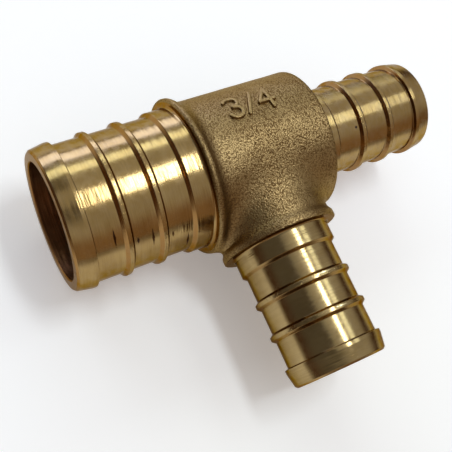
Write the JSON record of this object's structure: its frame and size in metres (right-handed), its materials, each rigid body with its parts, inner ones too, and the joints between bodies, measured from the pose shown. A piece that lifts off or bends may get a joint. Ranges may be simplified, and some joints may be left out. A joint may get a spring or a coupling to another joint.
{
  "type": "pex crimp fitting",
  "caption": "Cast brass reducing tee for plastic water tube, with ribbed insert ends that a crimp ring closes the tube onto, and a collar behind the large end.",
  "frame": {"origin": "the point where the axis of the run and the axis of the branch cross, on the axis of the large waterway", "axes": "+X along the run from the large end to the small end, -Y out along the branch, +Z square to both, up"},
  "size_m": [0.0489, 0.0372, 0.0192],
  "materials": {
    "brass": "cast skin on the body, bright turned ends"
  },
  "bodies": {
    "root": {"tee_body": "brass"}
  },
  "joints": []
}
